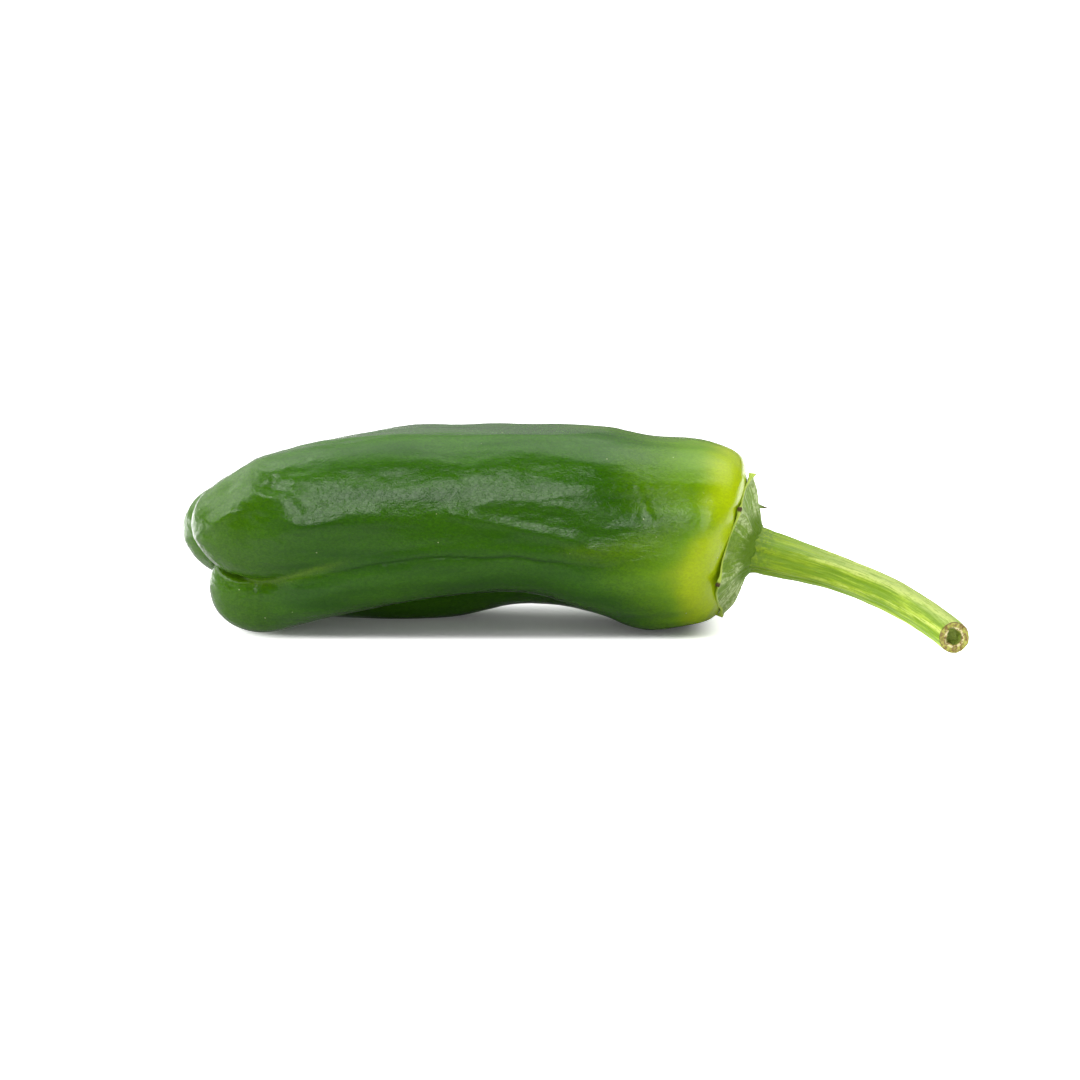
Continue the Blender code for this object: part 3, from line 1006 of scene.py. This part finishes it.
# %% A helper for node networks
class Recipe:
    """A network of nodes under construction, with short calls for the nodes it is made from."""

    def __init__(self, tree):
        self.tree = tree
        self.shader = tree.nodes.get("Principled BSDF")

    def node(self, kind, **settings):
        made = self.tree.nodes.new(kind)
        for name, value in settings.items():
            setattr(made, name, value)
        return made

    def join(self, source, socket):
        """Puts a number, a colour or another node's output into a socket."""
        if isinstance(source, bpy.types.NodeSocket):
            self.tree.links.new(source, socket)
        elif isinstance(source, tuple) and len(source) == 3 and socket.type == "RGBA":
            socket.default_value = (*source, 1)
        else:
            socket.default_value = source

    def place(self, scale=(1, 1, 1), painted=None):
        """The place on the skin, or one painted there, stretched by a scale along each axis."""
        mapping = self.node("ShaderNodeMapping")
        if painted:
            found = self.node("ShaderNodeAttribute", attribute_name=painted).outputs["Vector"]
        else:
            found = self.node("ShaderNodeTexCoord").outputs["Object"]
        self.join(found, mapping.inputs["Vector"])
        mapping.inputs["Scale"].default_value = scale
        return mapping.outputs["Vector"]

    def axes(self, vector):
        """The X, Y and Z of a vector, by name."""
        made = self.node("ShaderNodeSeparateXYZ")
        self.join(vector, made.inputs[0])
        return made.outputs

    def noise(self, scale, detail=3.0, roughness=0.5, distortion=0.0, painted=None):
        made = self.node("ShaderNodeTexNoise")
        self.join(self.place(scale, painted), made.inputs["Vector"])
        made.inputs["Scale"].default_value = 1
        made.inputs["Detail"].default_value = detail
        made.inputs["Roughness"].default_value = roughness
        made.inputs["Distortion"].default_value = distortion
        return made.outputs["Fac"]

    def painted(self, name):
        return self.node("ShaderNodeAttribute", attribute_name=name).outputs["Fac"]

    def math(self, operation, first, second=0.0):
        made = self.node("ShaderNodeMath", operation=operation)
        self.join(first, made.inputs[0])
        self.join(second, made.inputs[1])
        return made.outputs[0]

    def step(self, value, start, end, low=0.0, high=1.0):
        """A soft step of value: low up to start, high from end on."""
        made = self.node("ShaderNodeMapRange", interpolation_type="SMOOTHSTEP")
        for source, socket in zip((value, start, end, low, high), made.inputs):
            self.join(source, socket)
        return made.outputs["Result"]

    def mix(self, amount, first, second):
        made = self.node("ShaderNodeMix", data_type="RGBA")
        self.join(amount, made.inputs["Factor"])
        self.join(first, made.inputs["A"])
        self.join(second, made.inputs["B"])
        return made.outputs["Result"]

    def bump(self, height, distance, under=None):
        made = self.node("ShaderNodeBump")
        self.join(height, made.inputs["Height"])
        made.inputs["Distance"].default_value = distance
        if under is not None:
            self.join(under, made.inputs["Normal"])
        return made.outputs["Normal"]

    def set(self, **sockets):
        """Sets the shader's own sockets, named with _ for a space."""
        for name, source in sockets.items():
            self.join(source, self.shader.inputs[name.replace("_", " ")])


def new_finish(name, thing):
    """A recipe for a new material, which goes on a thing."""
    material = bpy.data.materials.new(name)
    material.use_nodes = True
    thing.data.materials.append(material)
    return Recipe(material.node_tree)


print("recipes are ready")

# %% [markdown]
# ## The fruit's skin
#
# The skin is a smooth, waxy, saturated green. It is yellower where it is riper, and paler in the
# valleys between lobes. A painted highlight runs as a whitish line along the near tip's edge, and the
# fine fold and the pocket at the blossom end are darkened by their own deeper green and by painted
# shade. Faint streaks run with the fruit, a fine dark grain lies over it, and a few specks dot it. The
# gloss is that of plain wax: a low roughness that varies with the grain, fine cottony bumps, and a
# little light that goes into the flesh and comes out again nearby.

# %% Fruit finish
DEEP_GREEN = (0.031, 0.132, 0.001)
LEAF_GREEN = (0.055, 0.195, 0.001)
TIP_GREEN = (0.076, 0.210, 0.003)
VALLEY_GREEN = (0.140, 0.290, 0.003)
FOLD_AND_POCKET_SHADE = (0.012, 0.060, 0.001)
SHOULDER_GREEN = (0.190, 0.400, 0.004)
SHOULDER_YELLOW = (0.550, 0.720, 0.006)
GRAIN_GREEN = (0.014, 0.070, 0.001)
SPECK = (0.55, 0.65, 0.30)
TIP_HIGHLIGHT_WHITE = (0.92, 0.94, 0.86)
TIP_GREEN_FROM = (-0.028, -0.040)
SHOULDER_GREEN_FROM = (-11.0, 1.5)
SHOULDER_YELLOW_FROM = (-2.0, 7.0)
SPECKS_A_METRE = 480

skin = new_finish("fruit_waxy_skin", fruit)
streaks = skin.noise((60, 420, 420), detail=4)
clouds = skin.noise((90, 130, 130), detail=2)
body = skin.mix(skin.step(streaks, 0.3, 0.7), DEEP_GREEN, LEAF_GREEN)
body = skin.mix(skin.step(skin.axes(skin.place())["X"], *TIP_GREEN_FROM), body, TIP_GREEN)
body = skin.mix(skin.math("MULTIPLY", skin.painted("valley"), 0.7), body, VALLEY_GREEN)
# Painted shade darkens the fold and the pocket, together with the fold's own darker green.
body = skin.mix(skin.math("MULTIPLY", skin.painted("seam"), 0.8), body, FOLD_AND_POCKET_SHADE)
ripe = skin.math("ADD", skin.painted("ripeness"), skin.step(streaks, 0.25, 0.75, -0.6, 0.6))
ripe = skin.math("ADD", ripe, skin.step(clouds, 0.3, 0.7, -0.4, 0.4))
body = skin.mix(skin.step(ripe, *SHOULDER_GREEN_FROM), body, SHOULDER_GREEN)
body = skin.mix(skin.step(ripe, *SHOULDER_YELLOW_FROM), body, SHOULDER_YELLOW)
mottle = skin.noise((3400, 5200, 5200), detail=3, roughness=0.65, distortion=0.6)
dark_grain = skin.step(mottle, 0.35, 0.65, 0.0, 0.40)
dark_grain = skin.math("MULTIPLY", dark_grain, skin.step(ripe, 0.0, -6.0, 0.40, 1.0))
body = skin.mix(dark_grain, body, GRAIN_GREEN)
dots = skin.node("ShaderNodeTexVoronoi")
skin.join(skin.place((SPECKS_A_METRE,) * 3), dots.inputs["Vector"])
dots.inputs["Scale"].default_value = 1
luck = skin.math("FRACT", skin.math("MULTIPLY", dots.outputs["Color"], 7.0))
speck = skin.math("MULTIPLY", skin.step(dots.outputs["Distance"], 0.05, 0.03), skin.step(luck, 0.45, 0.47))
body = skin.mix(skin.math("MULTIPLY", speck, 0.7), body, SPECK)
# Painted highlight along the near lobe's tip.
body = skin.mix(skin.painted("painted_tip_highlight"), body, TIP_HIGHLIGHT_WHITE)
cotton = skin.noise((1600, 2600, 2600), detail=3, roughness=0.55, distortion=1.0)
skin.set(
    Base_Color=body,
    Roughness=skin.step(mottle, 0.38, 0.62, 0.11, 0.26),
    IOR=1.45,
    Subsurface_Weight=0.15,
    Subsurface_Radius=(1.0, 1.6, 0.4),
    Subsurface_Scale=0.0020,
    Normal=skin.bump(cotton, 0.00004),
)
print("fruit finish:", len(skin.tree.nodes), "nodes")

# %% [markdown]
# ## The calyx's finish
#
# The calyx is drier than the fruit, and nearly matt. Its ribs and veins are a pale, greyish green, the
# hollows between them are mid green, and the skin round the neck is darker and grainy. A painted sheen
# makes the cap paler round the teeth, most of all round the lowest one, and raised wrinkles are painted
# paler. The thin rim has a pale line painted on it as its highlight, and the tips of the teeth have
# dried to brown.

# %% Calyx finish
CAP_GREEN = (0.225, 0.405, 0.020)
CAP_PALE_AND_SHEEN = (0.66, 0.78, 0.38)
CAP_NECK = (0.145, 0.275, 0.011)
CAP_EDGE_HIGHLIGHT = (0.62, 0.80, 0.13)
DRY_BROWN = (0.10, 0.065, 0.025)

cap = new_finish("calyx_matt_skin", calyx)
cap_clouds = cap.noise((2200, 2200, 2200), detail=4, roughness=0.65)
cap_streaks = cap.noise((0.4, 3.6, 3.6), detail=4, roughness=0.6, painted="cap_places")
cap_body = cap.mix(cap.step(cap.painted("slope"), 0.55, 0.15), CAP_GREEN, CAP_NECK)
# Painted sheen round the teeth and pale veins; raised wrinkles are painted paler too.
pale_and_sheen = cap.math("ADD", cap.painted("pale_and_sheen"), cap.step(cap.painted("raised"), -0.08, 0.03, 0.0, 0.8))
pale_and_sheen = cap.math("MULTIPLY", pale_and_sheen, cap.step(cap_streaks, 0.42, 0.58, 0.15, 1.2))
pale_and_sheen = cap.math("MULTIPLY", pale_and_sheen, cap.step(cap.painted("slope"), 0.10, 0.40))
cap_body = cap.mix(cap.math("MINIMUM", pale_and_sheen, 0.9), cap_body, CAP_PALE_AND_SHEEN)
cap_body = cap.mix(cap.step(cap_clouds, 0.40, 0.58, 0.60, 0.0), cap_body, CAP_NECK)
# Painted highlight along the thin rim.
cap_body = cap.mix(cap.painted("edge"), cap_body, CAP_EDGE_HIGHLIGHT)
cap_body = cap.mix(cap.step(cap.painted("dry"), 0.25, 0.7), cap_body, DRY_BROWN)
cap.set(
    Base_Color=cap_body,
    Roughness=cap.step(cap_clouds, 0.3, 0.7, 0.5, 0.7),
    Specular_IOR_Level=0.35,
    Subsurface_Weight=0.1,
    Subsurface_Radius=(1.0, 1.6, 0.4),
    Subsurface_Scale=0.0008,
    Normal=cap.bump(cap_clouds, 0.00020),
)
print("calyx finish:", len(cap.tree.nodes), "nodes")

# %% [markdown]
# ## The stem's finish
#
# Fine fibres run along the stem. They are light yellow-green on the ribs' crests and mid green between
# them, with the crests' paint dimmed on the underside as painted shade, a painted sheen that makes the
# face on top paler, and a few strands darker. The foot is as dark as the calyx's neck, and the whole
# stem is yellower toward the cut. The cut has dried: a brown rind, a broken cream ring where the fibres
# end, and the green pith sunk in the middle.

# %% Stem finish
STEM_GREEN = (0.38, 0.55, 0.010)
STEM_GROOVE = (0.24, 0.42, 0.006)
STEM_CREST = (0.72, 0.84, 0.18)
STEM_TOP_SHEEN = (0.58, 0.70, 0.20)
STEM_END_GREEN = (0.50, 0.68, 0.045)
STEM_BASE = (0.155, 0.29, 0.012)
STEM_FIBRE = (0.19, 0.34, 0.006)
RIND_BROWN = (0.22, 0.14, 0.03)
RIND_GREEN = (0.42, 0.42, 0.06)
RIND_EDGE = (0.14, 0.08, 0.015)
RING_CREAM = (0.74, 0.66, 0.36)
PITH_GREEN = (0.20, 0.27, 0.03)

stalk = new_finish("stem_ribbed_skin", stem)
fibres = stalk.noise((0.16, 2.4, 2.4), detail=4, roughness=0.6, painted="stem_places")
wisps = stalk.noise((0.5, 5.0, 5.0), detail=3, roughness=0.6, painted="stem_places")
bark = stalk.mix(stalk.step(stalk.painted("along"), 0.1, 0.9), STEM_GREEN, STEM_END_GREEN)
grooves = stalk.math("ADD", fibres, stalk.step(stalk.painted("crest"), 0.0, 0.45, -0.10, 0.10))
bark = stalk.mix(stalk.step(grooves, 0.52, 0.36), bark, STEM_GROOVE)
crests = stalk.math("ADD", stalk.painted("crest"), stalk.step(wisps, 0.3, 0.7, -0.25, 0.25))
bark = stalk.mix(stalk.step(crests, 0.15, 0.65, 0.0, 0.85), bark, STEM_CREST)
# Painted sheen on the top face.
top_sheen = stalk.math("MULTIPLY", stalk.painted("top_sheen"), stalk.step(wisps, 0.35, 0.6, 0.45, 0.8))
bark = stalk.mix(top_sheen, bark, STEM_TOP_SHEEN)
bark = stalk.mix(stalk.step(wisps, 0.48, 0.38, 0.0, 0.5), bark, STEM_FIBRE)
crumbs = stalk.noise((2600, 2600, 2600), detail=3, roughness=0.6)
at_foot = stalk.math("ADD", stalk.painted("along"), stalk.step(crumbs, 0.35, 0.65, -0.05, 0.05))
bark = stalk.mix(stalk.step(at_foot, 0.12, 0.0, 0.0, 0.9), bark, STEM_BASE)
bark = stalk.mix(stalk.step(crumbs, 0.46, 0.34, 0.0, 0.35), bark, STEM_GROOVE)
rind = stalk.mix(stalk.step(crumbs, 0.4, 0.6), RIND_BROWN, RIND_GREEN)
rind = stalk.mix(stalk.step(stalk.painted("radial"), 0.90, 0.97, 0.0, 0.9), rind, RIND_EDGE)
ring = stalk.step(stalk.painted("radial"), 0.50, 0.55)
ring = stalk.math("MULTIPLY", ring, stalk.step(stalk.painted("radial"), 0.68, 0.62))
ring = stalk.math("MULTIPLY", ring, stalk.step(crumbs, 0.44, 0.54))
rind = stalk.mix(ring, rind, RING_CREAM)
rind = stalk.mix(stalk.painted("in_pith"), rind, PITH_GREEN)
stalk.set(
    Base_Color=stalk.mix(stalk.painted("on_cut"), bark, rind),
    Roughness=stalk.step(wisps, 0.3, 0.7, 0.36, 0.52),
    Subsurface_Weight=0.12,
    Subsurface_Radius=(1.0, 1.4, 0.4),
    Subsurface_Scale=0.0008,
    Normal=stalk.bump(crumbs, 0.00006, under=stalk.bump(fibres, 0.00022)),
)
print("stem finish:", len(stalk.tree.nodes), "nodes")

# %% [markdown]
# ## The studio
#
# Skin this glossy is mostly a picture of the room. Reading the highlights back along the mirror
# directions shows what stood there: soft lights overhead and on the left, a tall narrow one above the
# camera, and otherwise a dark room. The white around such a product picture is usually lifted
# afterwards. So the table here is white to the camera. The light that the pepper gets from it is
# another matter: dim close by, nearly none from in front, and more from both sides and from behind the
# blossom end.

# %% White table
TABLE_SIZE = 1.6
TABLE_SEEN = (0.92, 0.92, 0.92)
TABLE_FELT = (0.52, 0.52, 0.52)
TABLE_IN_FRONT = (0.09, 0.09, 0.09)
FRONT_EDGE = (-0.022, -0.040)
GLOW = 0.9
GLOW_IN_SHADOW = 0.05

# The shadow's soft edges: the axis, and where the shadow is gone and where it is full.
SHADOW_EDGES = (("X", -0.040, -0.031), ("X", 0.020, 0.012), ("Y", -0.0065, -0.0015), ("Y", 0.020, 0.010))
# Light that the table gives off beside the pepper: from where, full where, and how much.
SIDE_GLOWS = ((-0.020, -0.036, 0.15), (-0.05, -0.20, 0.9), (0.015, 0.05, 1.5))

# A bright part of the table behind the blossom end, which the edge of the tip mirrors.
BACK_GLOW_EDGES = (("X", -0.045, -0.056), ("Y", 0.020, 0.034))
BACK_GLOW = 2.2

bpy.ops.mesh.primitive_plane_add(size=TABLE_SIZE, location=(0, 0, 0))
table = bpy.context.object
table.name = "white_table"
paper = new_finish("white_paper", table)
split = paper.axes(paper.place())
camera_sees = paper.node("ShaderNodeLightPath").outputs["Is Camera Ray"]
shadow = paper.math("ADD", 1.0)
for axis, gone, full in SHADOW_EDGES:
    shadow = paper.math("MULTIPLY", shadow, paper.step(split[axis], gone, full))
felt_glow = paper.math("ADD", 0.0)
for start, full, strength in SIDE_GLOWS:
    felt_glow = paper.math("ADD", felt_glow, paper.step(split["X"], start, full, 0.0, strength))
behind = paper.math("ADD", BACK_GLOW)
for axis, start, full in BACK_GLOW_EDGES:
    behind = paper.math("MULTIPLY", behind, paper.step(split[axis], start, full))
felt_glow = paper.math("ADD", felt_glow, behind)
seen_glow = paper.math("MULTIPLY", paper.step(shadow, 0, 1, GLOW, GLOW_IN_SHADOW), camera_sees)
felt_glow = paper.math("MULTIPLY", felt_glow, paper.math("SUBTRACT", 1.0, camera_sees))
felt_colour = paper.mix(paper.step(split["Y"], *FRONT_EDGE), TABLE_FELT, TABLE_IN_FRONT)
paper.set(
    Base_Color=paper.mix(camera_sees, felt_colour, TABLE_SEEN),
    Roughness=0.7,
    Specular_IOR_Level=0.0,
    Emission_Color=(1.0, 1.0, 1.0),
    Emission_Strength=paper.math("ADD", seen_glow, felt_glow),
)
print("table is", TABLE_SIZE, "m across")

# %% [markdown]
# ## Light from the room
#
# The soft boxes could be lamps, but a lamp has hard edges, and real diffusers fade towards theirs. So we
# paint the light on the room instead: each soft box is a patch with a soft edge, in a direction given
# by two angles, round from the camera's side to the right, and up. The tall strip has straight sides,
# so it is made of soft steps across and up.

# %% The room
ROOM_SEEN = (1.1, 1.1, 1.1)
ROOM_DARK = 0.01

# Soft boxes: turn, height, brightness, and how far from its middle a box starts and stops to fade.
SOFT_BOXES = (
    (150, 75, 1.3, 10, 40),
    (100, 62, 1.0, 10, 35),
    (160, 35, 0.38, 10, 40),
    (-120, 45, 1.6, 12, 36),
    (-80, 32, 2.8, 5, 24),
    (-118, 64, 1.5, 4, 14),
    (-146, 10, 0.75, 14, 42),
    (-38, 46, 5.5, 5, 15),
)
# The strip: its brightness, and where its sides and its two ends start and stop to fade.
STRIP_BRIGHTNESS = 4.4
STRIP_EDGES = ((-0.19, -0.13), (0.11, 0.07))
STRIP_HEIGHTS = ((0.02, 0.14), (0.80, 0.72))


def way_to(turn, height):
    """The unit vector at a turn from the camera's side to the right, and a height, in degrees."""
    turn, height = math.radians(turn), math.radians(height)
    level = math.cos(height)
    return (math.sin(turn) * level, -math.cos(turn) * level, math.sin(height))


room = bpy.data.worlds.new("soft_room")
room.use_nodes = True
light = Recipe(room.node_tree)
way = light.node("ShaderNodeTexCoord").outputs["Generated"]
felt = light.math("ADD", ROOM_DARK)
for turn, height, brightness, full, faded in SOFT_BOXES:
    toward = light.node("ShaderNodeVectorMath", operation="DOT_PRODUCT")
    light.join(way, toward.inputs[0])
    light.join(way_to(turn, height), toward.inputs[1])
    edge, inside = math.cos(math.radians(faded)), math.cos(math.radians(full))
    felt = light.math("ADD", felt, light.step(toward.outputs["Value"], edge, inside, 0, brightness))
parts = light.axes(way)
ahead = light.math("MAXIMUM", light.math("MULTIPLY", parts["Y"], -1.0), 0.001)
across = light.math("DIVIDE", parts["X"], ahead)
strip = light.step(across, *STRIP_EDGES[0], 0, STRIP_BRIGHTNESS)
for value, (start, end) in (
    (across, STRIP_EDGES[1]),
    (parts["Z"], STRIP_HEIGHTS[0]),
    (parts["Z"], STRIP_HEIGHTS[1]),
    (ahead, (0.0, 0.1)),
):
    strip = light.math("MULTIPLY", strip, light.step(value, start, end))
felt = light.math("ADD", felt, strip)
room_seen = light.node("ShaderNodeLightPath").outputs["Is Camera Ray"]
shown = light.mix(room_seen, felt, ROOM_SEEN)
light.join(shown, light.tree.nodes["Background"].inputs["Color"])
bpy.context.scene.world = room
print("room nodes:", len(light.tree.nodes))

# %% [markdown]
# ## One filling lamp
#
# A plain lamp in front lifts the green of the near side. It is set not to show in the gloss, as a lamp
# behind a polarising film doesn't, so the dark parts of the reflection stay dark and the colour deep.

# %% Filling lamp
FILL_PLACE = (-0.15, -0.75, 0.12)
FILL_SIZE = (0.7, 0.5)
FILL_WATTS = 0.84

lamp_data = bpy.data.lights.new("front_fill", "AREA")
lamp_data.shape = "RECTANGLE"
lamp_data.size, lamp_data.size_y = FILL_SIZE
lamp_data.energy = FILL_WATTS
lamp = bpy.data.objects.new("front_fill", lamp_data)
lamp.location = FILL_PLACE
lamp.visible_camera = False
lamp.visible_glossy = False
level = math.hypot(FILL_PLACE[0], FILL_PLACE[1])
lamp.rotation_euler = (math.atan2(level, FILL_PLACE[2]), 0, math.atan2(FILL_PLACE[0], -FILL_PLACE[1]))
bpy.context.scene.collection.objects.link(lamp)
bpy.context.scene.view_settings.view_transform = "Standard"
print("lamp:", lamp.name, "of", round(lamp_data.energy, 2), "W")
